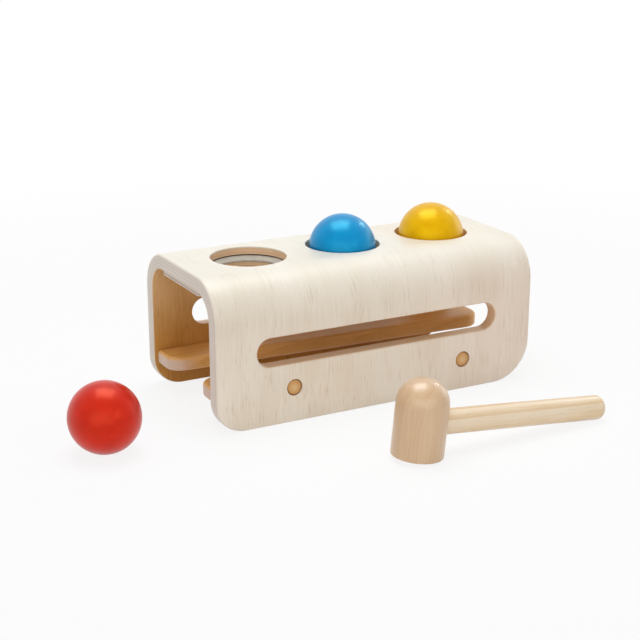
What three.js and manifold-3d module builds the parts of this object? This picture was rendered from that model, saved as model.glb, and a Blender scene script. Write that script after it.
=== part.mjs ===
// A ball pounding toy. Painted wooden balls sit in rubber rings in the deck of a bent plywood bench. A ball
// that is hit with the mallet drops onto two rails below. They spread apart towards the open left end, so
// it rolls out there. Millimetres, +Z up. The origin is the middle of the front wall's foot, +X runs along
// the bench to the right and +Y to the back. The pieces are placed from the middle of the bench's footprint.
import * as THREE from "three";
import { mergeVertices } from "three/addons/utils/BufferGeometryUtils.js";
import Module from "manifold-3d";

// Clearances
const SEAT_GAP = 0.3; // between pieces that seat on or in each other
const OVERCUT = 1; // how far a cutter runs past the face it starts from

// Balls and the holes that hold them
const BALL_DIAMETER = 50;
const BALL_SINK = 2.7; // from the deck down to the centre of a seated ball
const BALL_CLEARANCE = 2.8; // between a ball and the plywood around it
const HOLE_NAMES = ["left", "middle", "right"];
const HOLE_PITCH = 77.7;
const HOLE_TO_OPEN_END = 55; // from the left hole's centre to the end where the balls roll out
const HOLE_TO_FAR_END = 51.6; // from the right hole's centre to the other end

// Plywood bench
const BENCH_HEIGHT = 107.5;
const PLY = 11;
const BEND_RADIUS = 30; // outside of the bend between deck and wall
const FOOT_RADIUS_OPEN = 22.5; // lower corners of the walls at the open end
const FOOT_RADIUS_FAR = 31; // the same at the other end
const DECK_RIM = 1.25; // flat deck between a ring's seat and the bend
const DECK_LIP = 5.9; // plywood left above a ring
const SLOT_HEIGHT = 20.7;
const SLOT_BOTTOM = 43.9;
const SLOT_TO_END = 32; // from a slot's round end to the bench's end

// Rubber grip rings
const RING_FLANGE = 3.2; // how far a ring's seat is wider than the hole above it
const RING_STEP = 0.3; // how far a ring's mouth stands inside the hole above it
const RING_LIP = 1.5; // straight lip under the tapered mouth

// Plate that keeps the rings in their seats
const PLATE_THICKNESS = 3.5;
const PLATE_INSET = 1.5; // from the bench's end to the plate's end
const PLATE_CLEARANCE = 1.5; // between a passing ball and the plate
const PLATE_SCREW_INSET = 13; // from the plate's end to its outer screws
const PLATE_SCREW_EDGE = 12; // from the plate's long edge to its screws
const PLATE_SCREW_DIAMETER = 3;
const PLATE_SCREW_HEAD = 6;
const PLATE_SCREW_HEAD_HEIGHT = 2;
const PLATE_SCREW_LENGTH = 9.5; // below the head

// Rails that carry a dropped ball
const RAIL_THICKNESS = 10.4;
const RAIL_BOTTOM = 20.2; // of the front rail, which lies level
const BACK_RAIL_LOW = 1; // how far the back rail's open end lies below the front rail
const BACK_RAIL_HIGH = 3; // how far its other end lies above the front rail
const RAIL_INSET = 2.5; // from the bench's open end to the rail's end, which is flush at the other end
const LEDGE_OPEN = 1.2; // how far each rail reaches under a ball at the open end
const LEDGE_FAR_FRONT = 6.5; // how far the front rail reaches under a ball at the other end
const LEDGE_FAR_BACK = 24; // the same for the back rail
const RAIL_ROUND_OPEN = 13; // inner corner at the open end
const RAIL_ROUND_FAR_FRONT = 2.5; // inner corner of the front rail at the other end
const RAIL_ROUND_FAR_BACK = 13; // the same for the back rail

// Screws that hold the rails, and the wooden plugs over them
const PLUG_DIAMETER = 11.6;
const PLUG_LENGTH = 4.2;
const PLUG_RECESS = 0.7; // from the wall's face in to the plug's face
const PLUG_TO_END = 60.4; // from a plug's centre to the bench's end
const PLUG_RISE_OPEN = 0.6; // from the front rail's middle up to its plug's centre at the open end
const PLUG_RISE_FAR = -1.7; // the same at the other end, where it sits lower
const RAIL_SCREW_DIAMETER = 4;
const RAIL_SCREW_HEAD = 8;
const RAIL_SCREW_HEAD_HEIGHT = 2.6;
const RAIL_SCREW_LENGTH = 28; // with its head
const SCREW_TIP = 4; // length of a screw's point
const RECESS_LENGTH = 3.6; // cross recess in a screw's head
const RECESS_WIDTH = 1;
const RECESS_DEPTH = 1.2;

// Mallet
const HEAD_DIAMETER = 36.2;
const HEAD_LENGTH = 53.4;
const CROWN_ROUND = 16.9; // round of the domed crown
const HANDLE_DIAMETER = 17.5;
const HANDLE_HEIGHT = 22; // from the striking face to the handle's axis
const HANDLE_REACH = 152; // from the head's axis to the handle's end
const HANDLE_SOCKET = 22; // how deep the handle sits in the head
const HANDLE_ROUND = 5; // round of the handle's end

// Where the loose pieces lie
const RED_BALL_OUT = 76.6; // from the bench's left end to the red ball's centre
const RED_BALL_BEHIND = 11.4; // from the front wall's face back to the red ball's centre
const MALLET_ALONG = -10.6; // from the bench's middle to the edge that the mallet's head stands on
const MALLET_AHEAD = 95.3; // from the front wall's face to the mallet's axis

// Smoothness of round shapes
const ROUND_SEGMENTS = 48;
const BALL_SEGMENTS = 32;
const BALL_RINGS = 16;
const HANDLE_SEGMENTS = 24;
const SMALL_SEGMENTS = 12;
const ARC_STEPS = 8;

// Sizes that follow
const ballRadius = BALL_DIAMETER / 2;
const holeRadius = ballRadius + BALL_CLEARANCE;
const seatRadius = holeRadius + RING_FLANGE;
const halfLength = (HOLE_TO_OPEN_END + (HOLE_NAMES.length - 1) * HOLE_PITCH + HOLE_TO_FAR_END) / 2;
const holeXs = HOLE_NAMES.map((_, i) => -halfLength + HOLE_TO_OPEN_END + i * HOLE_PITCH);
const halfFlat = seatRadius + DECK_RIM;
const halfDepth = halfFlat + BEND_RADIUS;
const halfInside = halfDepth - PLY;
const bendHeight = BENCH_HEIGHT - BEND_RADIUS;
const deckUnderside = BENCH_HEIGHT - PLY;
const plateTop = deckUnderside - SEAT_GAP;
const plateBottom = plateTop - PLATE_THICKNESS;
const plugDepth = PLUG_RECESS + PLUG_LENGTH + SEAT_GAP;
const railMiddle = RAIL_BOTTOM + RAIL_THICKNESS / 2;
const headRadius = HEAD_DIAMETER / 2;
const handleRadius = HANDLE_DIAMETER / 2;

const wasm = await Module();
wasm.setup();

// Colours and finishes
function finish(color, roughness, metalness = 0) {
  return new THREE.MeshStandardMaterial({ color, roughness, metalness });
}

const birchPly = finish(0xe6d8c0, 0.55);
const thinBoard = finish(0xcdb28c, 0.7);
const railWood = finish(0xb58556, 0.6);
const plugWood = finish(0xc9935a, 0.6);
const headWood = finish(0xcda77c, 0.5);
const handleWood = finish(0xdcc39c, 0.5);
const greyRubber = finish(0x9d9684, 0.8);
const screwSteel = finish(0xb9bbbd, 0.35, 1);
const ballPaints = {
  red: finish(0xd2352c, 0.3),
  blue: finish(0x1f8fcf, 0.3),
  yellow: finish(0xf0cb1e, 0.3),
};

// Joining and cutting of closed geometries
function solidOf(geometry) {
  const bare = geometry.clone();
  bare.deleteAttribute("normal");
  bare.deleteAttribute("uv");
  const { index, attributes } = mergeVertices(bare, 1e-3);
  const vertProperties = attributes.position.array;
  const triVerts = new Uint32Array(index.array);
  return new wasm.Manifold(new wasm.Mesh({ numProp: 3, vertProperties, triVerts }));
}

function cut(geometry, cutters) {
  const left = cutters.reduce((solid, cutter) => solid.subtract(solidOf(cutter)), solidOf(geometry));
  const { vertProperties, triVerts } = left.getMesh();
  const result = new THREE.BufferGeometry();
  result.setAttribute("position", new THREE.BufferAttribute(vertProperties, 3));
  result.setIndex(new THREE.BufferAttribute(triVerts, 1));
  result.computeVertexNormals();
  return result;
}

// Shapes drawn flat and given depth along one axis
function extrude(shape, depth) {
  return new THREE.ExtrudeGeometry(shape, { depth, bevelEnabled: false, curveSegments: ARC_STEPS });
}

function extrudeUp(shape, bottom, top) {
  return extrude(shape, top - bottom).translate(0, 0, bottom);
}

// A shape drawn in Y and Z, centred along X.
function extrudeAlong(shape, length) {
  const upright = new THREE.Euler(Math.PI / 2, 0, Math.PI / 2, "ZYX");
  const turn = new THREE.Matrix4().makeRotationFromEuler(upright);
  return extrude(shape, length).translate(0, 0, -length / 2).applyMatrix4(turn);
}

// A shape drawn in X and Z, centred across Y.
function extrudeAcross(shape, width) {
  return extrude(shape, width).translate(0, 0, -width / 2).rotateX(Math.PI / 2);
}

// Round shapes about Z: a cylinder between two heights, and a turned profile of [radius, height] points.
function cylinder(radius, bottom, top, segments = ROUND_SEGMENTS) {
  const height = top - bottom;
  return new THREE.CylinderGeometry(radius, radius, height, segments)
    .rotateX(Math.PI / 2)
    .translate(0, 0, bottom + height / 2);
}

function turned(points, segments = ROUND_SEGMENTS) {
  const profile = points.map(([radius, height]) => new THREE.Vector2(radius, height));
  return new THREE.LatheGeometry(profile, segments).rotateX(Math.PI / 2);
}

// The quarter round at the top of a turned piece, from its side in to its end face.
function quarterRound(radius, height, round) {
  const steps = Array.from({ length: ARC_STEPS + 1 }, (_, i) => ((i / ARC_STEPS) * Math.PI) / 2);
  return steps.map((a) => [radius - round + round * Math.cos(a), height - round + round * Math.sin(a)]);
}

// Bench: an upside-down U of bent plywood, cut for the rings, slots, feet, plugs and screws.
function benchProfile() {
  const innerBend = BEND_RADIUS - PLY;
  const profile = new THREE.Shape();
  profile.moveTo(-halfDepth, 0);
  profile.lineTo(-halfInside, 0);
  profile.lineTo(-halfInside, bendHeight);
  profile.absarc(-halfFlat, bendHeight, innerBend, Math.PI, Math.PI / 2, true);
  profile.lineTo(halfFlat, deckUnderside);
  profile.absarc(halfFlat, bendHeight, innerBend, Math.PI / 2, 0, true);
  profile.lineTo(halfInside, 0);
  profile.lineTo(halfDepth, 0);
  profile.lineTo(halfDepth, bendHeight);
  profile.absarc(halfFlat, bendHeight, BEND_RADIUS, 0, Math.PI / 2, false);
  profile.lineTo(-halfFlat, BENCH_HEIGHT);
  profile.absarc(-halfFlat, bendHeight, BEND_RADIUS, Math.PI / 2, Math.PI, false);
  profile.closePath();
  return profile;
}

function slotShape() {
  const round = SLOT_HEIGHT / 2;
  const middle = SLOT_BOTTOM + round;
  const reach = halfLength - SLOT_TO_END - round;
  const slot = new THREE.Shape();
  slot.absarc(reach, middle, round, -Math.PI / 2, Math.PI / 2, false);
  slot.absarc(-reach, middle, round, Math.PI / 2, (3 * Math.PI) / 2, false);
  slot.closePath();
  return slot;
}

// The waste outside a wall's round lower corner, at the left end (-1) or the right end (1).
function footWaste(end, radius) {
  const corner = new THREE.Shape();
  corner.moveTo(end * (halfLength + OVERCUT), -OVERCUT);
  corner.lineTo(end * (halfLength + OVERCUT), radius);
  corner.lineTo(end * halfLength, radius);
  const middle = end * (halfLength - radius);
  const start = end > 0 ? 0 : Math.PI;
  const stop = end > 0 ? -Math.PI / 2 : (3 * Math.PI) / 2;
  corner.absarc(middle, radius, radius, start, stop, end > 0);
  corner.lineTo(middle, -OVERCUT);
  corner.closePath();
  return corner;
}

// The two rails: the front one lies level, the back one falls towards the open end.
const rails = [
  {
    wall: "front",
    side: -1,
    low: 0,
    high: 0,
    ledge: LEDGE_FAR_FRONT,
    round: RAIL_ROUND_FAR_FRONT,
    rises: [PLUG_RISE_OPEN, PLUG_RISE_FAR],
  },
  {
    wall: "back",
    side: 1,
    low: BACK_RAIL_LOW,
    high: BACK_RAIL_HIGH,
    ledge: LEDGE_FAR_BACK,
    round: RAIL_ROUND_FAR_BACK,
    rises: [0, 0],
  },
];
const railSlope = ({ low, high }) => (low + high) / (2 * halfLength - RAIL_INSET);
const railMiddleAt = (rail, x) => railMiddle + (rail.high - rail.low) / 2 + railSlope(rail) * x;

// Where the plugs and rail screws sit: on the front and back wall, at the open end and at the other.
const wallScrews = rails.flatMap((rail) => {
  const { wall, side, rises } = rail;
  const reach = halfLength - PLUG_TO_END;
  return [
    { name: `${wall}_left`, side, x: -reach, z: railMiddleAt(rail, -reach) + rises[0] },
    { name: `${wall}_right`, side, x: reach, z: railMiddleAt(rail, reach) + rises[1] },
  ];
});

// A cutter or piece made about Z, with its top at the wall's outer face, laid into the wall at such a place.
function intoWall(geometry, { x, z, side }) {
  return geometry.rotateX((-side * Math.PI) / 2).translate(x, side * halfDepth, z);
}

function countersink() {
  const head = RAIL_SCREW_HEAD / 2 + SEAT_GAP;
  const shank = RAIL_SCREW_DIAMETER / 2 + SEAT_GAP;
  const coneEnd = -plugDepth - SEAT_GAP - RAIL_SCREW_HEAD_HEIGHT;
  const outline = [
    [0, -PLY - OVERCUT],
    [shank, -PLY - OVERCUT],
    [shank, coneEnd],
    [head, -plugDepth - SEAT_GAP],
    [head, -plugDepth + OVERCUT],
    [0, -plugDepth + OVERCUT],
  ];
  return turned(outline, SMALL_SEGMENTS);
}

// Where the plate's screws sit: between the holes and near both ends, in two rows.
const plateHalfLength = halfLength - PLATE_INSET;
const plateHalfWidth = halfFlat - SEAT_GAP;
const plateScrewXs = [
  -plateHalfLength + PLATE_SCREW_INSET,
  ...holeXs.slice(1).map((x) => x - HOLE_PITCH / 2),
  plateHalfLength - PLATE_SCREW_INSET,
];
const plateScrewY = plateHalfWidth - PLATE_SCREW_EDGE;
const plateScrews = plateScrewXs.flatMap((x) => [-plateScrewY, plateScrewY].map((y) => ({ x, y })));
const plateScrewHole = PLATE_SCREW_DIAMETER / 2 + SEAT_GAP;
const plateScrewTop = plateBottom - SEAT_GAP + PLATE_SCREW_LENGTH;

function benchGeometry() {
  const throughWalls = [slotShape(), footWaste(-1, FOOT_RADIUS_OPEN), footWaste(1, FOOT_RADIUS_FAR)];
  const cutters = throughWalls.map((shape) => extrudeAcross(shape, 2 * (halfDepth + OVERCUT)));
  for (const x of holeXs) {
    cutters.push(cylinder(holeRadius, deckUnderside - OVERCUT, BENCH_HEIGHT + OVERCUT).translate(x, 0, 0));
    cutters.push(cylinder(seatRadius, deckUnderside - OVERCUT, BENCH_HEIGHT - DECK_LIP).translate(x, 0, 0));
  }
  for (const place of wallScrews) {
    cutters.push(intoWall(cylinder(PLUG_DIAMETER / 2 + SEAT_GAP, -plugDepth, OVERCUT), place));
    cutters.push(intoWall(countersink(), place));
  }
  for (const { x, y } of plateScrews) {
    const pilotTop = plateScrewTop + SEAT_GAP;
    const pilot = cylinder(plateScrewHole, deckUnderside - OVERCUT, pilotTop, SMALL_SEGMENTS);
    cutters.push(pilot.translate(x, y, 0));
  }
  return cut(extrudeAlong(benchProfile(), 2 * halfLength), cutters);
}

// Ring: a rubber collar whose mouth tapers down to a lip just under the widest part of a seated ball.
function ringGeometry() {
  const top = BENCH_HEIGHT - DECK_LIP - SEAT_GAP;
  const lipTop = deckUnderside + RING_LIP;
  const ballCentre = BENCH_HEIGHT - BALL_SINK;
  const lipRadius = Math.sqrt(ballRadius ** 2 - (ballCentre - lipTop) ** 2) + SEAT_GAP;
  const outer = seatRadius - SEAT_GAP;
  const mouth = holeRadius - RING_STEP;
  return turned([
    [lipRadius, deckUnderside],
    [outer, deckUnderside],
    [outer, top],
    [mouth, top],
    [lipRadius, lipTop],
    [lipRadius, deckUnderside],
  ]);
}

// Plate: a thin board under the rings, with a hole for each ball to pass and holes for its screws.
function plateGeometry() {
  const board = new THREE.Shape();
  board.moveTo(-plateHalfLength, -plateHalfWidth);
  board.lineTo(plateHalfLength, -plateHalfWidth);
  board.lineTo(plateHalfLength, plateHalfWidth);
  board.lineTo(-plateHalfLength, plateHalfWidth);
  board.closePath();
  const through = [plateBottom - OVERCUT, plateTop + OVERCUT];
  const passage = ballRadius + PLATE_CLEARANCE;
  const passages = holeXs.map((x) => cylinder(passage, ...through).translate(x, 0, 0));
  const screwHoles = plateScrews.map(({ x, y }) =>
    cylinder(plateScrewHole, ...through, SMALL_SEGMENTS).translate(x, y, 0),
  );
  return cut(extrudeUp(board, plateBottom, plateTop), [...passages, ...screwHoles]);
}

// Rail: a flat strip along a wall. Its inner edge runs out towards the wall at the open end.
function railGeometry(rail) {
  const { side, round } = rail;
  const open = -halfLength + RAIL_INSET;
  const far = halfLength;
  const back = side * (halfInside - SEAT_GAP);
  const wide = ballRadius - LEDGE_OPEN;
  const narrow = ballRadius - rail.ledge;
  const edge = (x) => side * (wide + ((narrow - wide) * (x - open)) / (far - open));
  const strip = new THREE.Shape();
  strip.moveTo(open, back);
  strip.lineTo(open, edge(open) + side * RAIL_ROUND_OPEN);
  strip.quadraticCurveTo(open, edge(open), open + RAIL_ROUND_OPEN, edge(open + RAIL_ROUND_OPEN));
  strip.lineTo(far - round, edge(far - round));
  strip.quadraticCurveTo(far, edge(far), far, edge(far) + side * round);
  strip.lineTo(far, back);
  strip.closePath();
  const tip = -plugDepth - SEAT_GAP - RAIL_SCREW_LENGTH;
  const holeRadiusInRail = RAIL_SCREW_DIAMETER / 2 + SEAT_GAP;
  const screwHoles = wallScrews
    .filter((place) => place.side === side)
    .map((place) => intoWall(cylinder(holeRadiusInRail, tip - SEAT_GAP, 0, SMALL_SEGMENTS), place));
  const level = extrudeUp(strip, -RAIL_THICKNESS / 2, RAIL_THICKNESS / 2);
  const lying = level.rotateY(-Math.atan(railSlope(rail))).translate(0, 0, railMiddleAt(rail, 0));
  return cut(lying, screwHoles);
}

// Screws point down from the head's underside (pan) or from its face (countersunk), with a cross recess.
function screwGeometry(headOutline, shankRadius, length) {
  const shank = [[shankRadius, -length + SCREW_TIP], [0, -length]];
  const top = headOutline[0][1];
  const recess = [[RECESS_LENGTH, RECESS_WIDTH], [RECESS_WIDTH, RECESS_LENGTH]].map(([x, y]) =>
    new THREE.BoxGeometry(x, y, 2 * RECESS_DEPTH).translate(0, 0, top),
  );
  return cut(turned([...headOutline, ...shank].reverse(), SMALL_SEGMENTS), recess);
}

function plateScrewGeometry() {
  const head = PLATE_SCREW_HEAD / 2;
  const shank = PLATE_SCREW_DIAMETER / 2;
  const shoulder = PLATE_SCREW_HEAD_HEIGHT / 2;
  const crown = [[0, PLATE_SCREW_HEAD_HEIGHT], [head - shoulder, PLATE_SCREW_HEAD_HEIGHT]];
  return screwGeometry([...crown, [head, shoulder], [head, 0], [shank, 0]], shank, PLATE_SCREW_LENGTH);
}

function railScrewGeometry() {
  const head = RAIL_SCREW_HEAD / 2;
  const shank = RAIL_SCREW_DIAMETER / 2;
  return screwGeometry([[0, 0], [head, 0], [shank, -RAIL_SCREW_HEAD_HEIGHT]], shank, RAIL_SCREW_LENGTH);
}

// Mallet: a turned head with a flat striking face and a domed crown, and a rod glued into its side.
function malletHeadGeometry() {
  const round = Math.min(CROWN_ROUND, headRadius);
  const crown = quarterRound(headRadius, HEAD_LENGTH, round);
  const outline = [[0, 0], [headRadius, 0], ...crown];
  if (round < headRadius) outline.push([0, HEAD_LENGTH]);
  const socket = cylinder(handleRadius + SEAT_GAP, headRadius - HANDLE_SOCKET, headRadius + OVERCUT);
  return cut(turned(outline), [socket.rotateY(Math.PI / 2).translate(0, 0, HANDLE_HEIGHT)]);
}

function handleGeometry(length) {
  const end = quarterRound(handleRadius, length, HANDLE_ROUND);
  return turned([[0, 0], [handleRadius, 0], ...end, [0, length]], HANDLE_SEGMENTS).rotateY(Math.PI / 2);
}

// The mallet leans on the edge of its striking face until the round of the handle's end meets the floor.
function malletLean() {
  const along = HANDLE_REACH - headRadius - HANDLE_ROUND;
  const up = HANDLE_HEIGHT - handleRadius + HANDLE_ROUND;
  return Math.acos(HANDLE_ROUND / Math.hypot(along, up)) - Math.atan2(along, up);
}

// Assembly
const layout = new THREE.Group();
layout.position.y = halfDepth - PLY / 2;

function place(name, geometry, material, parent = layout) {
  const mesh = new THREE.Mesh(geometry, material);
  mesh.name = name;
  parent.add(mesh);
  return mesh;
}

place("plywood_bench", benchGeometry(), birchPly);
place("ring_plate", plateGeometry(), thinBoard);
HOLE_NAMES.forEach((name, i) => {
  place(`grip_ring_${name}`, ringGeometry(), greyRubber).position.x = holeXs[i];
});
plateScrews.forEach(({ x, y }, i) => {
  const screw = place(`plate_screw_${i + 1}`, plateScrewGeometry(), screwSteel);
  screw.position.set(x, y, plateBottom - SEAT_GAP);
  screw.rotation.x = Math.PI;
});

for (const rail of rails) place(`rail_${rail.wall}`, railGeometry(rail), railWood);
for (const spot of wallScrews) {
  const plug = cylinder(PLUG_DIAMETER / 2, -PLUG_RECESS - PLUG_LENGTH, -PLUG_RECESS);
  place(`plug_${spot.name}`, intoWall(plug, spot), plugWood);
  const screw = railScrewGeometry().translate(0, 0, -plugDepth - SEAT_GAP);
  place(`rail_screw_${spot.name}`, intoWall(screw, spot), screwSteel);
}

const ball = () => new THREE.SphereGeometry(ballRadius, BALL_SEGMENTS, BALL_RINGS).rotateX(Math.PI / 2);
const redBall = place("ball_red", ball(), ballPaints.red);
redBall.position.set(-halfLength - RED_BALL_OUT, -halfDepth + RED_BALL_BEHIND, ballRadius);
["blue", "yellow"].forEach((colour, i) => {
  const seated = place(`ball_${colour}`, ball(), ballPaints[colour]);
  seated.position.set(holeXs[i + 1], 0, BENCH_HEIGHT - BALL_SINK);
});

const mallet = new THREE.Group();
mallet.position.set(MALLET_ALONG, -halfDepth - MALLET_AHEAD, 0);
mallet.rotation.y = malletLean();
layout.add(mallet);
place("mallet_head", malletHeadGeometry(), headWood, mallet).position.x = -headRadius;
const handleStart = -HANDLE_SOCKET + SEAT_GAP;
const rod = handleGeometry(HANDLE_REACH - headRadius - handleStart);
const handle = place("mallet_handle", rod, handleWood, mallet);
handle.position.set(handleStart, 0, HANDLE_HEIGHT);

const toy = new THREE.Group();
toy.add(layout);

export default toy;
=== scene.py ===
"""The looks of a ball pounding toy, built round its solids. Shapes are drawn in millimetres."""
import math

import bmesh
import bpy
from mathutils import Matrix, Vector


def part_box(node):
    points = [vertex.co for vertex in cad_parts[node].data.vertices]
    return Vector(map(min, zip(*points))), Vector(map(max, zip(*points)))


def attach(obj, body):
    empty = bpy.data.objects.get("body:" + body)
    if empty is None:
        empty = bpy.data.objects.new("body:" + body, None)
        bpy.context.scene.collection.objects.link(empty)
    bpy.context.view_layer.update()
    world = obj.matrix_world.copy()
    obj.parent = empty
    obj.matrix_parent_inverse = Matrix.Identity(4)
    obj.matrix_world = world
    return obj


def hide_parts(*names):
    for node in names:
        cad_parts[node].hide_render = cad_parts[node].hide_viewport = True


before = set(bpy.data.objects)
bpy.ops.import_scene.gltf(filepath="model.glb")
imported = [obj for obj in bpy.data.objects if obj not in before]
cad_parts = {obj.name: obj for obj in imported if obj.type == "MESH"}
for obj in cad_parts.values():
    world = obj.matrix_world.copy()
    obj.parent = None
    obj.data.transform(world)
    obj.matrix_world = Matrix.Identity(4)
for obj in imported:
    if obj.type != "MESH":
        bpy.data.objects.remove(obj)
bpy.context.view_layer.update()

# Bench: one sheet of pale plywood, pressed while damp into an upside-down U. Its holes, slots and round
# feet are cut through it, every edge is eased with sandpaper, and it has a thin coat of matt lacquer.
MM = 0.001
PLY = 11
VENEERS = 9
BEND_RADIUS = 30
BEND_STEPS = 28
FOOT_OPEN = 22.5
FOOT_FAR = 31
HOLE_RADIUS = 27.8
SEAT_STEP = 3.2
SEAT_DEPTH = 5.9
SLOT_LOW = 43.9
SLOT_HIGH = 64.6
SLOT_TO_END = 32
PLUG_HOLE_RADIUS = 6.1
PLUG_HOLE_DEPTH = 5.2
COUNTERSINK_IN = 1.8
COUNTERSINK_TOP = 5.5
COUNTERSINK_FLOOR = 8.1
SCREW_HOLE_IN = 3.8
OUTER_EASE = 2.3
INNER_EASE = 1.4
HOLE_EASE = 0.5
SLOT_OUTER_EASE = 2.3
SLOT_INNER_EASE = 0.7
PLUG_HOLE_EASE = 0.3
EASE_STEPS = 6
ARC_STEP = math.radians(6)
CIRCLE_STEPS = 96
SHARP_ANGLE = math.radians(35)
SAME_POINT = 1e-4
PALE_VENEER = ("f0e4d3", "e6d7c2")
ROSY_VENEER = ("efdfcf", "e4cfba")
ROSY_FROM_TO = (-10, 110)
# Painted sheen: the deck's veneer colour is whiter and less yellow, standing in for the lacquer's sheen
# on the top.
PAINTED_SHEEN_DECK = ("eee9dc", "e6dfcf")
PAINTED_SHEEN_FROM_TO = (85, 40)
VENEER_FLECK = "b99e80"
TAN_LINING = ("e5bf8c", "d2a468")
# Painted shade: the lining turns a darker brown towards the feet, where the rails shade the inside.
PAINTED_SHADE_LINING = ("d09a50", "bc843a")
PAINTED_SHADE_ABOVE_FOOT = (92, 30)
# Painted shade and bounce light: the lining turns a deeper gold away from the open end, for the shade
# and warm light bounced inside.
PAINTED_BOUNCE_LINING = ("dc9c40", "c8862c")
PAINTED_BOUNCE_FROM_TO = (-100, -20)
LINING_FLECK = "96672a"
SANDED_PLIES = ("e6dccf", "ddd0c2")
ROUTED_PLIES = ("f2cea6", "eac398")
SANDED_FROM_TO = (112, 122)
PLY_SPECKLE = "b09678"
GLUE_LINE = "93795f"
SKIN_DEPTH = (1.7, 0.4)
SKIN_OFF_END = (0.3, 1.8)
LINING_DEPTH = (PLY - 0.5, PLY - 0.1)
THROUGH_SHEET = 400


def corners_mm(node):
    """Lowest and highest corner of a solid, in millimetres."""
    low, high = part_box(node)
    return low / MM, high / MM


def centre_mm(node):
    """Middle of a solid's box, in millimetres."""
    low, high = corners_mm(node)
    return (low + high) / 2


def rounded(corners):
    """A closed outline through (u, v, radius) corners, with an arc at each corner that has a radius."""
    points = []
    for i, (u, v, radius) in enumerate(corners):
        corner = Vector((u, v))
        back = (Vector(corners[i - 1][:2]) - corner).normalized()
        on = (Vector(corners[(i + 1) % len(corners)][:2]) - corner).normalized()
        half = back.angle(on) / 2
        reach = radius / math.tan(half)
        middle = corner + (back + on).normalized() * radius / math.sin(half)
        spoke = corner + back * reach - middle
        turn = spoke.angle_signed(corner + on * reach - middle) if radius else 0
        steps = max(1, round(abs(turn) / ARC_STEP)) if radius else 0
        for step in range(steps + 1):
            swing = Matrix.Rotation(-turn * step / max(steps, 1), 2)
            points.append(middle + swing @ spoke if radius else corner)
    return [p for i, p in enumerate(points) if (p - points[i - 1]).length > SAME_POINT]


def circle(u, v, radius, steps=CIRCLE_STEPS):
    """A round outline, counterclockwise."""
    turns = [2 * math.pi * i / steps for i in range(steps)]
    return [Vector((u + radius * math.cos(a), v + radius * math.sin(a))) for a in turns]


def box_outline(low, high, radii):
    """A counterclockwise rectangle. Its radii go round from the low corner."""
    spots = [(low[0], low[1]), (high[0], low[1]), (high[0], high[1]), (low[0], high[1])]
    return rounded([(u, v, radius) for (u, v), radius in zip(spots, radii)])


def moved(outline, distance):
    """The outline moved sideways. A positive distance moves a counterclockwise one inwards."""
    result = []
    for i, point in enumerate(outline):
        before = (point - outline[i - 1]).normalized()
        after = (outline[(i + 1) % len(outline)] - point).normalized()
        left = Vector((-before.y - after.y, before.x + after.x))
        result.append(point + left * distance / (1 + before.dot(after)))
    return result


def eased(front, back, depth):
    """A rim's profile through a board: (how far it is cut back, how deep), rounded at both faces."""
    turns = [math.pi / 2 * i / EASE_STEPS for i in range(EASE_STEPS + 1)]
    top = [(front * (1 - math.sin(a)), front * (1 - math.cos(a))) for a in turns]
    bottom = [(back * (1 - math.cos(a)), depth - back * (1 - math.sin(a))) for a in turns]
    return top + bottom


def board(outline, profile, holes=()):
    """A flat board as a bmesh in (u, v, depth). Each hole is an outline and its rim's profile."""
    bm = bmesh.new()
    faces_edges = ([], [])
    for rim, (points, section) in enumerate([(outline, profile), *holes]):
        way = -1 if rim else 1
        loops = []
        for cut_back, depth in section:
            loops.append([bm.verts.new((*p, depth)) for p in moved(points, way * cut_back)])
        count = len(points)
        for upper, lower in zip(loops, loops[1:]):
            for i in range(count):
                j = (i + 1) % count
                bm.faces.new((upper[i], upper[j], lower[j], lower[i])).smooth = True
        for edges, loop in zip(faces_edges, (loops[0], loops[-1])):
            edges.extend(bm.edges.get((loop[i - 1], loop[i])) for i in range(count))
    for edges in faces_edges:
        bmesh.ops.triangle_fill(bm, edges=edges, use_beauty=True)
    return bm


def make_piece(name, bm, place):
    """A mesh object from a bmesh in its own millimetres. The grain attribute keeps those coordinates."""
    grain = [c for v in bm.verts for c in v.co]
    for v in bm.verts:
        v.co = Vector(place(*v.co)) * MM
    bmesh.ops.recalc_face_normals(bm, faces=bm.faces)
    if bm.calc_volume(signed=True) < 0:
        bmesh.ops.reverse_faces(bm, faces=bm.faces)
    mesh = bpy.data.meshes.new(name)
    bm.to_mesh(mesh)
    bm.free()
    mesh.attributes.new("grain", "FLOAT_VECTOR", "POINT").data.foreach_set("vector", grain)
    mesh.set_sharp_from_angle(angle=SHARP_ANGLE)
    piece = bpy.data.objects.new(name, mesh)
    bpy.context.scene.collection.objects.link(piece)
    return piece


def dress(piece, material, body, node):
    """Gives a piece its material and its place on the toy."""
    piece.data.materials.append(material)
    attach(piece, body)
    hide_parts(node)


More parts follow.
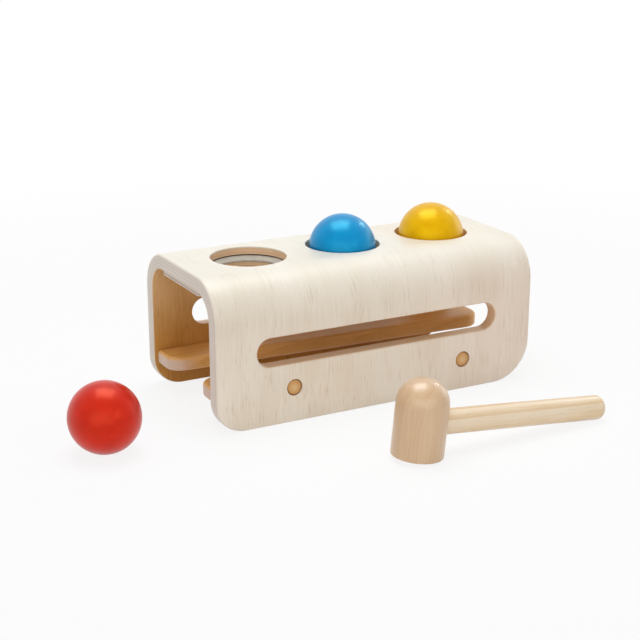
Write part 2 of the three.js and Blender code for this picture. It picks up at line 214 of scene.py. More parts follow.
class Shade:
    """One output of a material's nodes. Arithmetic on it adds Math nodes to the same material."""

    def __init__(self, tree, socket=None):
        self.tree = tree
        self.socket = socket

    def node(self, kind, settings=None, sockets=None, output=0):
        """Adds a node, sets its settings and then its sockets, and gives one of its outputs."""
        made = self.tree.nodes.new("ShaderNode" + kind)
        for name, value in (settings or {}).items():
            setattr(made, name, value)
        for name, value in (sockets or {}).items():
            if isinstance(value, Shade):
                self.tree.links.new(value.socket, made.inputs[name])
            else:
                made.inputs[name].default_value = value
        return Shade(self.tree, made.outputs[output] if len(made.outputs) else None)

    def math(self, operation, *others):
        """A Math node with this value in its first socket."""
        return self.node("Math", {"operation": operation}, dict(enumerate((self, *others))))

    def __add__(self, other):
        return self.math("ADD", other)

    def __sub__(self, other):
        return self.math("SUBTRACT", other)

    def __rsub__(self, other):
        return self.node("Math", {"operation": "SUBTRACT"}, {0: other, 1: self})

    def __mul__(self, other):
        return self.math("MULTIPLY", other)

    def __truediv__(self, other):
        return self.math("DIVIDE", other)

    __radd__ = __add__
    __rmul__ = __mul__

    def between(self, low, high):
        """Rises smoothly from 0 at low to 1 at high, or falls where low is the larger."""
        sockets = {"Value": self, "From Min": low, "From Max": high}
        return self.node("MapRange", {"interpolation_type": "SMOOTHSTEP"}, sockets)

    def parts(self):
        """The X, Y and Z of a vector."""
        split = self.node("SeparateXYZ", {}, {0: self}).socket.node
        return [Shade(self.tree, output) for output in split.outputs]

    def noise(self, cell, detail=2, roughness=0.5):
        """Noise over a vector in millimetres, with cells of that size along its three axes."""
        per_mm = tuple(1 / size for size in cell)
        scaled = self.node("VectorMath", {"operation": "MULTIPLY"}, {0: self, 1: per_mm})
        sockets = {"Vector": scaled, "Scale": 1, "Detail": detail, "Roughness": roughness}
        return self.node("TexNoise", {}, sockets)

    def mix(self, low, high):
        """From the colour low to the colour high as this value goes from 0 to 1."""
        low, high = (rgb(c) if isinstance(c, str) else c for c in (low, high))
        return self.node("Mix", {"data_type": "RGBA"}, {0: self, 6: low, 7: high}, 2)

    def bumped(self, depth_mm, strength):
        """A surface normal that follows this value as a height."""
        sockets = {"Height": self, "Distance": depth_mm * MM, "Strength": strength}
        return self.node("Bump", {}, sockets)

    def close(self, **sockets):
        """Ends the material with one principled surface. Socket names have _ for a space."""
        named = {name.replace("_", " "): value for name, value in sockets.items()}
        surface = self.node("BsdfPrincipled", {}, named)
        self.node("OutputMaterial", {}, {"Surface": surface})


def start_material(name):
    """An empty material, the start of its nodes, and its grain coordinates in millimetres."""
    material = bpy.data.materials.new(name)
    material.use_nodes = True
    material.node_tree.nodes.clear()
    start = Shade(material.node_tree)
    grain = start.node("Attribute", {"attribute_name": "grain"}, {}, "Vector")
    return material, start, grain


def rgb(code):
    """A linear colour from six hexadecimal digits."""
    parts = [int(code[i:i + 2], 16) / 255 for i in (0, 2, 4)]
    return (*(c / 12.92 if c <= 0.04045 else ((c + 0.055) / 1.055) ** 2.4 for c in parts), 1)


def plywood_material():
    """Pale veneer outside, a warmer one inside, and the stacked plies on every cut edge."""
    material, start, sheet = start_material("plywood")
    along, up, depth = sheet.parts()
    figure = sheet.noise((24, 210, THROUGH_SHEET), 2)
    streak = sheet.noise((1.3, 30, THROUGH_SHEET), 3, 0.65)
    cloud = sheet.noise((42, 55, THROUGH_SHEET), 1)
    crowding = sheet.noise((13, 26, THROUGH_SHEET), 2).between(0.36, 0.64)
    flecks = sheet.noise((0.65, 14, THROUGH_SHEET), 2, 0.7).between(0.54, 0.7) * crowding
    drawn = (streak - 0.5) * (0.12 + crowding * 0.26)
    tone = (figure * 0.4 + drawn * 1.7 + cloud * 0.36 + 0.12).between(0.36, 0.64)
    off_middle = (up - girth / 2).math("ABSOLUTE")
    wall = along.between(*ROSY_FROM_TO).mix(tone.mix(*PALE_VENEER), tone.mix(*ROSY_VENEER))
    # Painted sheen: the deck is painted whiter, with fewer flecks, as the lacquer's sheen on the top.
    painted_sheen_on_deck = off_middle.between(*PAINTED_SHEEN_FROM_TO)
    veneer = painted_sheen_on_deck.mix(wall, tone.mix(*PAINTED_SHEEN_DECK))
    outside = (flecks * (0.52 - painted_sheen_on_deck * 0.24)).mix(veneer, VENEER_FLECK)
    # Painted shade: the lining darkens to brown towards the feet.
    painted_shade_to_foot = off_middle.between(*(girth / 2 - height for height in PAINTED_SHADE_ABOVE_FOOT))
    at_mouth = painted_shade_to_foot.mix(tone.mix(*TAN_LINING), tone.mix(*PAINTED_SHADE_LINING))
    # Painted shade and bounce light: deeper gold inside, away from the open end.
    lined = (along.between(*PAINTED_BOUNCE_FROM_TO) * 0.75).mix(at_mouth, tone.mix(*PAINTED_BOUNCE_LINING))
    inside = (flecks * 0.45).mix(lined, LINING_FLECK)

    layer = depth * (VENEERS / PLY) + sheet.noise((30, 30, THROUGH_SHEET), 1) * 0.16
    crosswise = (layer / 2).math("FRACT").math("GREATER_THAN", 0.5)
    ply_glue_and_groove_shade = (layer.math("FRACT") - 0.5).math("ABSOLUTE").between(0.36, 0.5)
    speckle = sheet.noise((1.1, 1.1, 0.5), 2)
    from_middle = along.math("ABSOLUTE")
    at_end = from_middle.between(*SANDED_FROM_TO)
    plies = at_end.mix(crosswise.mix(*ROUTED_PLIES), crosswise.mix(*SANDED_PLIES))
    plies = (speckle.between(0.3, 0.75) * 0.18).mix(plies, PLY_SPECKLE)
    plies = (ply_glue_and_groove_shade * 0.2).mix(plies, GLUE_LINE)

    off_end = (bench_high.x - bench_low.x) / 2 - from_middle
    skin = depth.between(*SKIN_DEPTH) * off_end.between(*SKIN_OFF_END)
    lining = depth.between(*LINING_DEPTH)
    cut = (1 - skin) * (1 - lining)
    colour = lining.mix(skin.mix(plies, outside), inside)
    rough = 0.46 + cut * 0.15 + streak * 0.1
    height = streak * 0.3 - flecks * 0.6 - cut * ply_glue_and_groove_shade * 0.6 + cut * speckle * 0.5
    start.close(
        Base_Color=colour,
        Roughness=rough,
        Normal=height.bumped(0.1, 0.25),
        Specular_IOR_Level=0.25,
        Coat_Weight=1 - lining * 0.9,
        Coat_Roughness=0.4,
    )
    return material


bench_low, bench_high = corners_mm("plywood_bench")
wall_height = bench_high.z - BEND_RADIUS
bend_length = BEND_RADIUS * math.pi / 2
girth = 2 * (wall_height + bend_length) + bench_high.y - bench_low.y - 2 * BEND_RADIUS
hole_names = ["left", "middle", "right"]
plug_names = [f"{wall}_{end}" for wall in ("front", "back") for end in ("left", "right")]


def bent(x, along, depth):
    """Where a point of the flat sheet goes when the sheet is bent. Depth counts from its outer face."""
    back = along > girth / 2
    run = girth - along if back else along
    if run <= wall_height:
        inward = depth
        height = run
    elif run <= wall_height + bend_length:
        turn = (run - wall_height) / BEND_RADIUS
        inward = BEND_RADIUS - (BEND_RADIUS - depth) * math.cos(turn)
        height = wall_height + (BEND_RADIUS - depth) * math.sin(turn)
    else:
        inward = BEND_RADIUS + run - wall_height - bend_length
        height = bench_high.z - depth
    return x, bench_high.y - inward if back else bench_low.y + inward, height


feet = (FOOT_OPEN, FOOT_FAR, FOOT_FAR, FOOT_OPEN)
sheet_outline = box_outline((bench_low.x, 0), (bench_high.x, girth), feet)
slot_rim = eased(SLOT_OUTER_EASE, SLOT_INNER_EASE, PLY)
slot_radii = [(SLOT_HIGH - SLOT_LOW) / 2] * 4
cuts = []
for low, high in ((SLOT_LOW, SLOT_HIGH), (girth - SLOT_HIGH, girth - SLOT_LOW)):
    ends = (bench_low.x + SLOT_TO_END, bench_high.x - SLOT_TO_END)
    cuts.append((box_outline((ends[0], low), (ends[1], high), slot_radii), slot_rim))
hole_rim = eased(HOLE_EASE, 0, SEAT_DEPTH)[:EASE_STEPS + 1]
hole_rim += [(0, SEAT_DEPTH), (SEAT_STEP, SEAT_DEPTH), (SEAT_STEP, PLY)]
for name in hole_names:
    cuts.append((circle(centre_mm(f"grip_ring_{name}").x, girth / 2, HOLE_RADIUS), hole_rim))
plug_rim = eased(PLUG_HOLE_EASE, 0, PLUG_HOLE_DEPTH)[:EASE_STEPS + 1]
plug_rim += [
    (0, PLUG_HOLE_DEPTH),
    (-COUNTERSINK_IN, PLUG_HOLE_DEPTH),
    (-COUNTERSINK_IN, COUNTERSINK_TOP),
    (-SCREW_HOLE_IN, COUNTERSINK_FLOOR),
    (-SCREW_HOLE_IN, PLY),
]
for name in plug_names:
    spot = centre_mm(f"plug_{name}")
    along = spot.z if name.startswith("front") else girth - spot.z
    cuts.append((circle(spot.x, along, PLUG_HOLE_RADIUS, CIRCLE_STEPS // 2), plug_rim))

bench_mesh = board(sheet_outline, eased(OUTER_EASE, INNER_EASE, PLY), cuts)
for bend_start in (wall_height, girth - wall_height - bend_length):
    for step in range(BEND_STEPS + 1):
        line = bend_start + bend_length * step / BEND_STEPS
        whole = bench_mesh.verts[:] + bench_mesh.edges[:] + bench_mesh.faces[:]
        bmesh.ops.bisect_plane(bench_mesh, geom=whole, plane_co=(0, line, 0), plane_no=(0, 1, 0))
for face in bench_mesh.faces:
    run = min(face.calc_center_median().y, girth - face.calc_center_median().y)
    if wall_height < run < wall_height + bend_length:
        face.smooth = True
bench = make_piece("bent_plywood_bench", bench_mesh, bent)
dress(bench, plywood_material(), "bench", "plywood_bench")

# Grip rings: collars moulded in grey rubber, one in the seat under each hole. The mouth tapers down to
# a lip that is a little narrower than a ball, which holds it until it is hit.
RING_MOUTH_IN = 0.3
RING_LIP = 1.5
RING_ROUND = 0.5
LIP_ROUND = 0.7
GROOVE_DEPTH = 0.8
GROOVE_REACH = 1.4
MOUTH_ROUND = 0.25
RING_STEPS = 120
RUBBER_GREY = ("bab5a8", "c8c3b7")
GROOVE_PAINTED_SHADE = "4a3826"
PAINTED_SHADE_ABOVE_GROOVE = (0.02, 0.1)


def turned(profile, steps, closed=False):
    """A bmesh spun round the Z axis from (radius, height) points, open ones from axis to axis."""
    bm = bmesh.new()
    rings = []
    for radius, height in profile:
        count = steps if radius > SAME_POINT else 1
        turns = [2 * math.pi * i / count for i in range(count)]
        rings.append([bm.verts.new((radius * math.cos(a), radius * math.sin(a), height)) for a in turns])
    for lower, upper in zip(rings, rings[1:] + rings[:1] if closed else rings[1:]):
        for i in range(steps):
            j = (i + 1) % steps
            places = ((lower, i), (lower, j), (upper, j), (upper, i))
            corners = [ring[k % len(ring)] for ring, k in places]
            bm.faces.new(list(dict.fromkeys(corners))).smooth = True
    return bm


def rubber_material():
    """Matt grey rubber with a faint dusty mottling, and painted shade in the groove round its mouth."""
    material, start, local = start_material("grey_rubber")
    groove_floor = seat_top - GROOVE_DEPTH
    # Painted shade: the groove's floor and wall are coloured dark brown, for the shade in the gap under
    # the deck.
    ply_glue_and_groove_shade = local.parts()[2].between(*(groove_floor + height for height in PAINTED_SHADE_ABOVE_GROOVE))
    dust = local.noise((4, 4, 2), 3)
    fine = local.noise((0.4, 0.4, 0.4), 1)
    colour = ply_glue_and_groove_shade.mix(dust.between(0.3, 0.7).mix(*RUBBER_GREY), GROOVE_PAINTED_SHADE)
    start.close(Base_Color=colour, Roughness=0.62 + dust * 0.2, Normal=fine.bumped(0.05, 0.25))
    return material


seat_top = corners_mm("grip_ring_left")[1].z
rubber = rubber_material()
for name in hole_names:
    node = f"grip_ring_{name}"
    low, high = corners_mm(node)
    middle = (low + high) / 2
    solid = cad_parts[node].data
    spread = [math.hypot(v.co.x / MM - middle.x, v.co.y / MM - middle.y) for v in solid.vertices]
    lip_radius = min(spread)
    groove_floor = high.z - GROOVE_DEPTH
    section = rounded([
        (lip_radius, low.z, RING_ROUND),
        (max(spread), low.z, RING_ROUND),
        (max(spread), high.z, RING_ROUND),
        (HOLE_RADIUS + GROOVE_REACH, high.z, MOUTH_ROUND),
        (HOLE_RADIUS + GROOVE_REACH, groove_floor, MOUTH_ROUND),
        (HOLE_RADIUS - RING_MOUTH_IN, groove_floor, MOUTH_ROUND),
        (lip_radius, low.z + RING_LIP, LIP_ROUND),
    ])
    ring_mesh = turned(section, RING_STEPS, closed=True)
    ring = make_piece(
        f"rubber_grip_ring_{name}",
        ring_mesh,
        lambda x, y, z: (x + middle.x, y + middle.y, z),
    )
    dress(ring, rubber, "bench", node)

# Ring plate: a thin plywood board, screwed up under the deck, that keeps the rings in their seats. A
# ball passes through its holes without touching them.
PLATE_HOLE_RADIUS = 26.5
PLATE_SCREW_HOLE = 1.8
PLATE_CORNER = 2
PLATE_EASE = 0.7
PLATE_SCREWS = 8
SCREW_HOLE_STEPS = 24
PLATE_FACE = ("e0c39a", "cfab7c")
# The second edge colour is painted light: paler, for the edges that lie in shade under the rings.
PLATE_EDGE_AND_PAINTED_LIGHT = ("e6dcd0", "fadcb0")
PLATE_CORE = "a08a76"
PAINTED_LIGHT_EDGE_FROM_TO = (126, 122)


def thin_board_material():
    """Bare thin plywood: a pale face with fine grain, and a darker core on its edges."""
    material, start, local = start_material("thin_board")
    streak = local.noise((60, 1.4, 30), 3, 0.6)
    figure = local.noise((150, 12, 30), 2)
    along, _, depth = local.parts()
    core = (depth - plate_thick / 2).math("ABSOLUTE").between(0.75, 0.45)
    # Painted light: the edges round the holes and along the sides are paler, with less dark core, where
    # they lie in shade.
    painted_light_edge = along.math("ABSOLUTE").between(*PAINTED_LIGHT_EDGE_FROM_TO)
    face = (streak * 0.5 + figure * 0.5).between(0.35, 0.65).mix(*PLATE_FACE)
    at_edge = depth.between(0.2, 0.5) * depth.between(plate_thick - 0.2, plate_thick - 0.5)
    bare_wood_and_painted_light = at_edge.mix(face, painted_light_edge.mix(*PLATE_EDGE_AND_PAINTED_LIGHT))
    colour = (core * at_edge * (0.6 - painted_light_edge * 0.45)).mix(bare_wood_and_painted_light, PLATE_CORE)
    start.close(Base_Color=colour, Roughness=0.6 + streak * 0.15, Normal=streak.bumped(0.08, 0.3))
    return material


plate_low, plate_high = corners_mm("ring_plate")
plate_thick = plate_high.z - plate_low.z
plate_rim = eased(PLATE_EASE, PLATE_EASE, plate_thick)
plate_cuts = [
    (circle(centre_mm(f"grip_ring_{name}").x, centre_mm("ring_plate").y, PLATE_HOLE_RADIUS), plate_rim)
    for name in hole_names
]
for number in range(1, PLATE_SCREWS + 1):
    spot = centre_mm(f"plate_screw_{number}")
    screw_hole = circle(spot.x, spot.y, PLATE_SCREW_HOLE, SCREW_HOLE_STEPS)
    plate_cuts.append((screw_hole, [(0, 0), (0, plate_thick)]))
plate_outline = box_outline(plate_low, plate_high, [PLATE_CORNER] * 4)
plate = make_piece(
    "thin_ring_plate",
    board(plate_outline, plate_rim, plate_cuts),
    lambda x, y, depth: (x, y, plate_high.z - depth),
)
dress(plate, thin_board_material(), "bench", "ring_plate")

# Screws: small pan heads that hold the plate to the deck, and long countersunk ones that hold the rails
# to the walls, under the plugs. They are zinc plated steel, straight from the box.
ZINC = ("a9adb0", "c4c4bd")


def zinc_material():
    """Zinc plate: bright grey metal with soft patches and fine turning marks."""
    material, start, _ = start_material("zinc_plate")
    place = start.node("TexCoord", {}, {}, "Object")
    place = place.node("VectorMath", {"operation": "SCALE"}, {0: place, "Scale": 1 / MM})
    patch = place.noise((1.5, 1.5, 1.5), 2)
    marks = place.noise((0.3, 0.3, 2), 1)
    start.close(
        Base_Color=patch.between(0.3, 0.7).mix(*ZINC),
        Metallic=1,
        Roughness=0.28 + patch * 0.2,
        Normal=marks.bumped(0.02, 0.3),
    )
    return material


zinc = zinc_material()
for name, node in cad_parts.items():
    if "screw" in name:
        node.data.materials.clear()
        node.data.materials.append(zinc)

# Rails: two planed strips of brown hardwood, screwed to the walls from outside. Their inner edges spread
# apart towards the open end, and the back one falls that way too, so a dropped ball rolls out there.
# Their edges are well rounded. Near the open end their sides are painted paler and greyer, partly the
# bare sawn wood and partly a painted sheen.
HALF_GAP_OPEN = 23.8
HALF_GAP_FAR = {"front": 18.5, "back": 1}
RAIL_THICKNESS = 10.4
RAIL_ROUND_OPEN = 13
RAIL_ROUND_FAR = {"front": 2, "back": 13}
RAIL_ROUND_WALL = 2.5
RAIL_TOP_EASE = 2.8
RAIL_BOTTOM_EASE = 1.8
SAWN_WOOD_AND_SHEEN = "d8c0b0"
SAWN_AND_SHEEN_REACH = (26, 1)
SAWN_AND_SHEEN_DEPTH = (0.8, 3)


def timber_material(
    name, lengthwise, pith, ring, colours, pore, rough, figure, gloss=0.5, coat=0, sawn=None
):
    """Solid wood. Lengthwise is the axis of its grain, and its growth rings go round the pith.
    Sawn is where along X a board ends; near it the sides are painted paler, partly bare end grain and
    partly a painted sheen."""
    material, start, local = start_material(name)
    cells = {"fibre": (0.9, 34), "wander": (30, 160), "pores": (0.6, 8), "cloud": (14, 70)}
    noises = {}
    for kind, (across, along) in cells.items():
        cell = [across] * 3
        cell[lengthwise] = along
        noises[kind] = local.noise(cell, 2, 0.55)
    from_pith = [axis - at for axis, at in zip(local.parts(), pith)]
    del from_pith[lengthwise]
    distance = (from_pith[0] * from_pith[0] + from_pith[1] * from_pith[1]).math("SQRT")
    year = (distance / ring + noises["wander"] * 1.6).math("FRACT")
    late = year.between(0.2, 0.9) * year.between(1, 0.93)
    tone = late * figure + noises["fibre"] * 0.45 + noises["cloud"] * 0.5
    tone = tone.between(0.25, 0.75 + figure)
    open_pores = noises["pores"].between(0.58, 0.72)
    colour = (open_pores * 0.25).mix(tone.mix(*colours), pore)
    # Painted sheen: near the sawn end the sides turn paler and greyer, partly the bare end grain and
    # partly a painted sheen.
    if sawn is not None:
        along, _, depth = local.parts()
        bare_wood_and_painted_light = along.between(*(sawn + reach for reach in SAWN_AND_SHEEN_REACH)) * depth.between(*SAWN_AND_SHEEN_DEPTH)
        colour = (bare_wood_and_painted_light * 0.85).mix(colour, SAWN_WOOD_AND_SHEEN)
    height = noises["fibre"] * 0.5 - open_pores * 0.5
    start.close(
        Base_Color=colour,
        Roughness=rough + noises["fibre"] * 0.12,
        Normal=height.bumped(0.07, 0.25),
        Specular_IOR_Level=gloss,
        Coat_Weight=coat,
        Coat_Roughness=0.28,
    )
    return material


rail_wood = timber_material(
    "rail_wood",
    lengthwise=0,
    pith=(0, -60, 45),
    ring=6,
    colours=("f0b86e", "dca152"),
    pore="8e5a26",
    rough=0.34,
    figure=0.2,
    sawn=corners_mm("rail_back")[0].x,
)
middle_y = centre_mm("plywood_bench").y
for name, side in (("front", -1), ("back", 1)):
    low, high = corners_mm(f"rail_{name}")
    slope = (high.z - low.z - RAIL_THICKNESS) / (high.x - low.x)
    wall_side = low.y if side < 0 else high.y
    strip = [
        (low.x, wall_side, RAIL_ROUND_WALL),
        (low.x, middle_y + side * HALF_GAP_OPEN, RAIL_ROUND_OPEN),
        (high.x, middle_y + side * HALF_GAP_FAR[name], RAIL_ROUND_FAR[name]),
        (high.x, wall_side, RAIL_ROUND_WALL),
    ]
    rail_outline = rounded(strip if side > 0 else strip[::-1])
    rail_mesh = board(rail_outline, eased(RAIL_TOP_EASE, RAIL_BOTTOM_EASE, RAIL_THICKNESS))
    rail = make_piece(
        f"hardwood_rail_{name}",
        rail_mesh,
        lambda x, y, depth: (x, y, low.z + RAIL_THICKNESS - depth + slope * (x - low.x)),
    )
    dress(rail, rail_wood, "bench", f"rail_{name}")

# Plugs: short turned discs of tan wood with a slightly domed face, glued into the walls over the rail
# screws. They sit a little below the wall's face. A dark line is painted round each one, partly the
# glue's stain and partly painted shade in the gap, and the middle of each face is paler as a painted
# highlight.
PLUG_DOME = 0.5
PLUG_SHOULDER = 0.7
PLUG_STEPS = 64
PLUG_WOOD_AND_HIGHLIGHT = ("e0bb86", "ce9550")
PLUG_RIM_STAIN_AND_SHADE = "844c12"


def plug_material(radius):
    """Tan wood with a painted highlight that makes the middle of its face paler, and a dark ring round
    its rim that is partly a glue stain and partly painted shade in the gap.
    """
    material, start, local = start_material("plug_wood")
    across, up, _ = local.parts()
    out = (across * across + up * up).math("SQRT") / radius
    fibre = local.noise((9, 0.7, 6), 2, 0.6)
    # Painted highlight: paler in the middle of the face. Glue stain and painted shade: the dark ring at
    # the rim.
    body = (out.between(0.1, 0.8) * 0.7 + fibre * 0.4).mix(*PLUG_WOOD_AND_HIGHLIGHT)
    colour = (out.between(0.8, 0.98) * 0.85).mix(body, PLUG_RIM_STAIN_AND_SHADE)
    start.close(Base_Color=colour, Roughness=0.26 + fibre * 0.12, Normal=fibre.bumped(0.05, 0.2))
    return material


plug_low, plug_high = corners_mm("plug_front_left")
plug_radius = (plug_high.x - plug_low.x) / 2
plug_length = plug_high.y - plug_low.y
plug_wood = plug_material(plug_radius)
flat = plug_radius - PLUG_SHOULDER
dome = [(flat * i / EASE_STEPS, -PLUG_DOME * (1 - (i / EASE_STEPS) ** 2)) for i in range(EASE_STEPS + 1)]
shoulder = [(plug_radius, PLUG_SHOULDER), (plug_radius, plug_length), (0, plug_length)]
for name in plug_names:
    node = f"plug_{name}"
    low, high = corners_mm(node)
    middle = (low + high) / 2
    face = low.y if name.startswith("front") else high.y
    inward = 1 if name.startswith("front") else -1
    plug = make_piece(
        f"wood_plug_{name}",
        turned(dome + shoulder, PLUG_STEPS),
        lambda u, v, depth: (middle.x + u, face + inward * depth, middle.z + v),
    )
    dress(plug, plug_wood, "bench", node)

# Balls: turned beech, dipped in water based paint and polished to a satin gloss. A small flat is left at
# both poles, where the lathe held the ball, and the grain shows faintly through the paint.
BALL_STEPS = 128
POLE_TO_POLE_STEPS = 64
POLE_FLAT = 0.06
BALL_TILTS = {"red": (70, 25), "blue": (80, 40), "yellow": (75, -30)}
PAINTS = {
    "red": ("d22415", "c81f11", "ff8058"),
    "blue": ("0488c7", "047fbf", "60f4ff"),
    "yellow": ("e7af06", "e1a605", "fff638"),
}


def paint_material(name, bright, deep, tint):
    """Satin paint over close grained wood, with slight flow marks and a tinted sheen."""
    material, start, local = start_material(name)
    grain = local.noise((2.2, 2.2, 30), 3, 0.6)
    flow = local.noise((9, 9, 9), 2)
    height = grain * 0.5 + flow * 0.5
    start.close(
        Base_Color=flow.between(0.3, 0.7).mix(bright, deep),
        Roughness=0.24 + flow * 0.12,
        Normal=height.bumped(0.05, 0.12),
        Specular_IOR_Level=1,
        Specular_Tint=rgb(tint),
    )
    return material


for name, (bright, deep, tint) in PAINTS.items():
    node = f"ball_{name}"
    low, high = corners_mm(node)
    radius = (high.z - low.z) / 2
    middle = (low + high) / 2
    tip, swing = (math.radians(a) for a in BALL_TILTS[name])
    tilt = Matrix.Rotation(swing, 3, "Z") @ Matrix.Rotation(tip, 3, "X")
    span = math.pi - 2 * POLE_FLAT
    angles = [POLE_FLAT + span * i / POLE_TO_POLE_STEPS for i in range(POLE_TO_POLE_STEPS + 1)]
    arc = [(radius * math.sin(a), -radius * math.cos(a)) for a in angles]
    ball_mesh = turned([(0, arc[0][1]), *arc, (0, arc[-1][1])], BALL_STEPS)
    ball = make_piece(
        f"painted_ball_{name}",
        ball_mesh,
        lambda x, y, z: tilt @ Vector((x, y, z)) + middle,
    )
    paint = paint_material(f"{name}_paint", bright, deep, tint)
    dress(ball, paint, f"{name}_ball", node)

# Mallet: a turned hardwood head with a flat striking face and a domed crown. A pale dowel with a rounded
# end is glued into a socket in its side. It leans on the edge of its face and on the dowel's end.
HEAD_RADIUS = 18.1
HEAD_LENGTH = 53.4
CROWN_ROUND = 16.9
FACE_EASE = 1.0
HEAD_STEPS = 128
DOWEL_RADIUS = 8.75
DOWEL_HEIGHT = 22
DOWEL_REACH = 152
DOWEL_ROUND = 5
DOWEL_START_ROUND = 0.5
DOWEL_SOCKET = 21.7
DOWEL_STEPS = 72
SOCKET_GAP = 0.12

reach = DOWEL_REACH - HEAD_RADIUS - DOWEL_ROUND
rise = DOWEL_HEIGHT - DOWEL_RADIUS + DOWEL_ROUND
mallet_lean = math.acos(DOWEL_ROUND / math.hypot(reach, rise)) - math.atan2(reach, rise)
standing_edge = min((v.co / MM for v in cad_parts["mallet_head"].data.vertices), key=lambda p: p.z)
mallet_turn = Matrix.Rotation(mallet_lean, 3, "Y")


def leaned(x, y, z):
    """From the mallet's own upright place, with its standing edge at the origin, to where it lies."""
    return mallet_turn @ Vector((x, y, z)) + standing_edge


def half_profile(radius, length, ends):
    """Half of a turned piece from axis to axis, with a round at its start and at its end."""
    outline = rounded([(0, 0, 0), (radius, 0, ends[0]), (radius, length, ends[1]), (0, length, 0)])
    return [tuple(p) for p in outline]


def dowel_mesh(radius, start, end, rounds):
    """A round rod along X in the mallet's own place."""
    rod = turned(half_profile(radius, end - start, rounds), DOWEL_STEPS)
    rod.transform(Matrix.Translation((start, 0, DOWEL_HEIGHT)) @ Matrix.Rotation(math.pi / 2, 4, "Y"))
    return rod


head_mesh = turned(half_profile(HEAD_RADIUS, HEAD_LENGTH, (FACE_EASE, CROWN_ROUND)), HEAD_STEPS)
head_mesh.transform(Matrix.Translation((-HEAD_RADIUS, 0, 0)))
head = make_piece("mallet_head_turned", head_mesh, leaned)
socket_mesh = dowel_mesh(DOWEL_RADIUS + SOCKET_GAP, -DOWEL_SOCKET - SOCKET_GAP, HEAD_RADIUS, (0, 0))
socket = make_piece("socket_cutter", socket_mesh, leaned)
drill = head.modifiers.new("socket", "BOOLEAN")
drill.object = socket
drilled = bpy.data.meshes.new_from_object(head.evaluated_get(bpy.context.evaluated_depsgraph_get()))
head.modifiers.clear()
head.data = drilled
bpy.data.objects.remove(socket)
upright = mallet_turn.inverted()
grain = [c for v in drilled.vertices for c in upright @ (v.co / MM - standing_edge)]
drilled.attributes["grain"].data.foreach_set("vector", grain)
drilled.set_sharp_from_angle(angle=SHARP_ANGLE)
head_wood = timber_material(
    "mallet_head_wood",
    lengthwise=2,
    pith=(-40, 30, 0),
    ring=11,
    colours=("d6b488", "c89e71"),
    pore="a97f52",
    rough=0.38,
    figure=0.16,
    gloss=1,
    coat=0.9,
)
dress(head, head_wood, "mallet", "mallet_head")

dowel_rounds = (DOWEL_START_ROUND, DOWEL_ROUND)
handle_mesh = dowel_mesh(DOWEL_RADIUS, -DOWEL_SOCKET, DOWEL_REACH - HEAD_RADIUS, dowel_rounds)
handle = make_piece("mallet_dowel_handle", handle_mesh, leaned)
handle_wood = timber_material(
    "mallet_handle_wood",
    lengthwise=0,
    pith=(0, 10, 40),
    ring=7,
    colours=("f4e2c8", "dfbf92"),
    pore="b08858",
    rough=0.28,
    figure=0.35,
)
dress(handle, handle_wood, "mallet", "mallet_handle")

# Studio: a white table and a soft box overhead, a small lamp on the right that leaves a spark on the
# balls, a strip on the right of the camera, and white panels to its left and at the far end.
FLOOR_HALF = 8
SHADOW_SHARE = 0.15
NEAR_FLOOR = 0.35
FAR_FLOOR = 0.9
SKY_STRENGTH = 0.35
PAPER = (0.88, 0.88, 0.88, 1)
WHITE = (1, 1, 1, 1)


def seen_by_eye(start):
    """One for the rays that show the background: straight, mirrored and through glass."""
    ray = start.node("LightPath").socket.node.outputs
    kinds = ("Is Camera Ray", "Is Glossy Ray", "Is Transmission Ray")
    straight, mirrored, through = (Shade(start.tree, ray[kind]) for kind in kinds)
    return straight.math("MAXIMUM", mirrored).math("MAXIMUM", through)


floor_mesh = bmesh.new()
bmesh.ops.create_grid(floor_mesh, x_segments=1, y_segments=1, size=FLOOR_HALF / MM)
floor = make_piece("floor", floor_mesh, lambda x, y, z: (x, y, z))
floor_material, start, local = start_material("white_table")
away = local.node("VectorMath", {"operation": "LENGTH"}, {0: local}, "Value")
glow = away.between(NEAR_FLOOR / MM, FAR_FLOOR / MM) * SHADOW_SHARE + (1 - SHADOW_SHARE)
paper = start.node("BsdfDiffuse", {}, {"Color": PAPER})
white = start.node("Emission", {}, {"Color": WHITE, "Strength": 1})
surface = start.node("MixShader", {}, {0: glow * seen_by_eye(start), 1: paper, 2: white})
start.node("OutputMaterial", {}, {"Surface": surface})
floor.data.materials.append(floor_material)

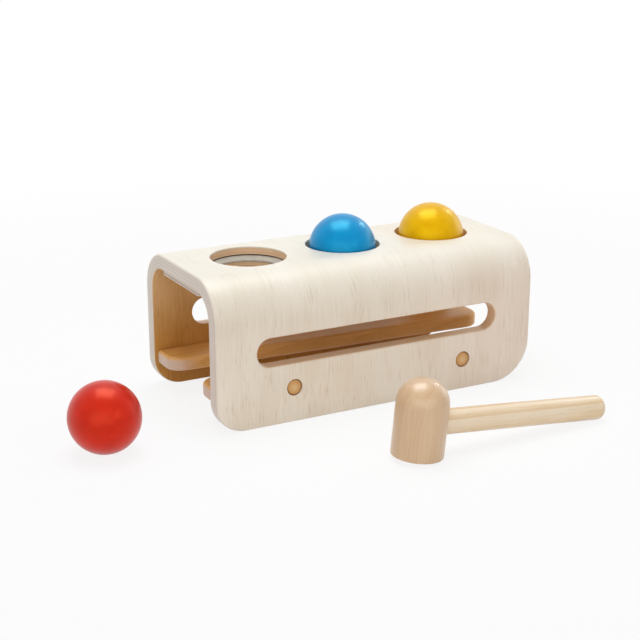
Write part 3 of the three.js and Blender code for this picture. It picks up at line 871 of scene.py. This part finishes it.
world = bpy.data.worlds.new("white_room")
bpy.context.scene.world = world
world.use_nodes = True
world.node_tree.nodes.clear()
sky = Shade(world.node_tree)
strength = seen_by_eye(sky) * (1 - SKY_STRENGTH) + SKY_STRENGTH
room = sky.node("Background", {}, {"Color": WHITE, "Strength": strength})
sky.node("OutputWorld", {}, {"Surface": room})


def lamp(name, spot, aim, size, power):
    """A soft rectangular light in metres and watts, aimed at a point."""
    light = bpy.data.lights.new(name, "AREA")
    light.shape = "RECTANGLE"
    light.size = size[0]
    light.size_y = size[1]
    light.energy = power
    holder = bpy.data.objects.new(name, light)
    holder.location = spot
    holder.rotation_euler = (Vector(aim) - Vector(spot)).to_track_quat("-Z", "Y").to_euler()
    holder.visible_camera = False
    bpy.context.scene.collection.objects.link(holder)


TOY_MIDDLE = (0, 0.05, 0.1)
OVERHEAD_AIM = (-0.087, 0.132, 0.1)
lamp("overhead_box", spot=(-0.04, 0.22, 1.15), aim=OVERHEAD_AIM, size=(0.86, 0.74), power=8.15)
lamp("spark", spot=(1.3, 0.58, 0.88), aim=TOY_MIDDLE, size=(0.15, 0.15), power=1.7)
lamp("side_strip", spot=(0.38, -1.35, 0.64), aim=TOY_MIDDLE, size=(0.25, 0.5), power=1.1)
lamp("left_panel", spot=(-1, -1.5, 0.64), aim=TOY_MIDDLE, size=(2.4, 1.28), power=11.2)
lamp("right_panel", spot=(1.2, 0.15, 0.3), aim=TOY_MIDDLE, size=(0.6, 0.5), power=0.9)

# Camera: where the picture was taken from. It stands a metre off with a long lens, and looks down on
# the toy from its open end.
CAMERA_SPOT = (-501.8, -846.0, 375.8)
CAMERA_TURN = 28.226
CAMERA_DOWN = 17.624
LENS = 80.47
SENSOR_WIDTH = 36

camera = bpy.data.objects.new("camera", bpy.data.cameras.new("camera"))
camera.data.lens = LENS
camera.data.sensor_width = SENSOR_WIDTH
camera.location = Vector(CAMERA_SPOT) * MM
camera.rotation_euler = (math.radians(90 - CAMERA_DOWN), 0, math.radians(-CAMERA_TURN))
bpy.context.scene.collection.objects.link(camera)
bpy.context.scene.camera = camera
bpy.context.scene.view_settings.view_transform = "Standard"
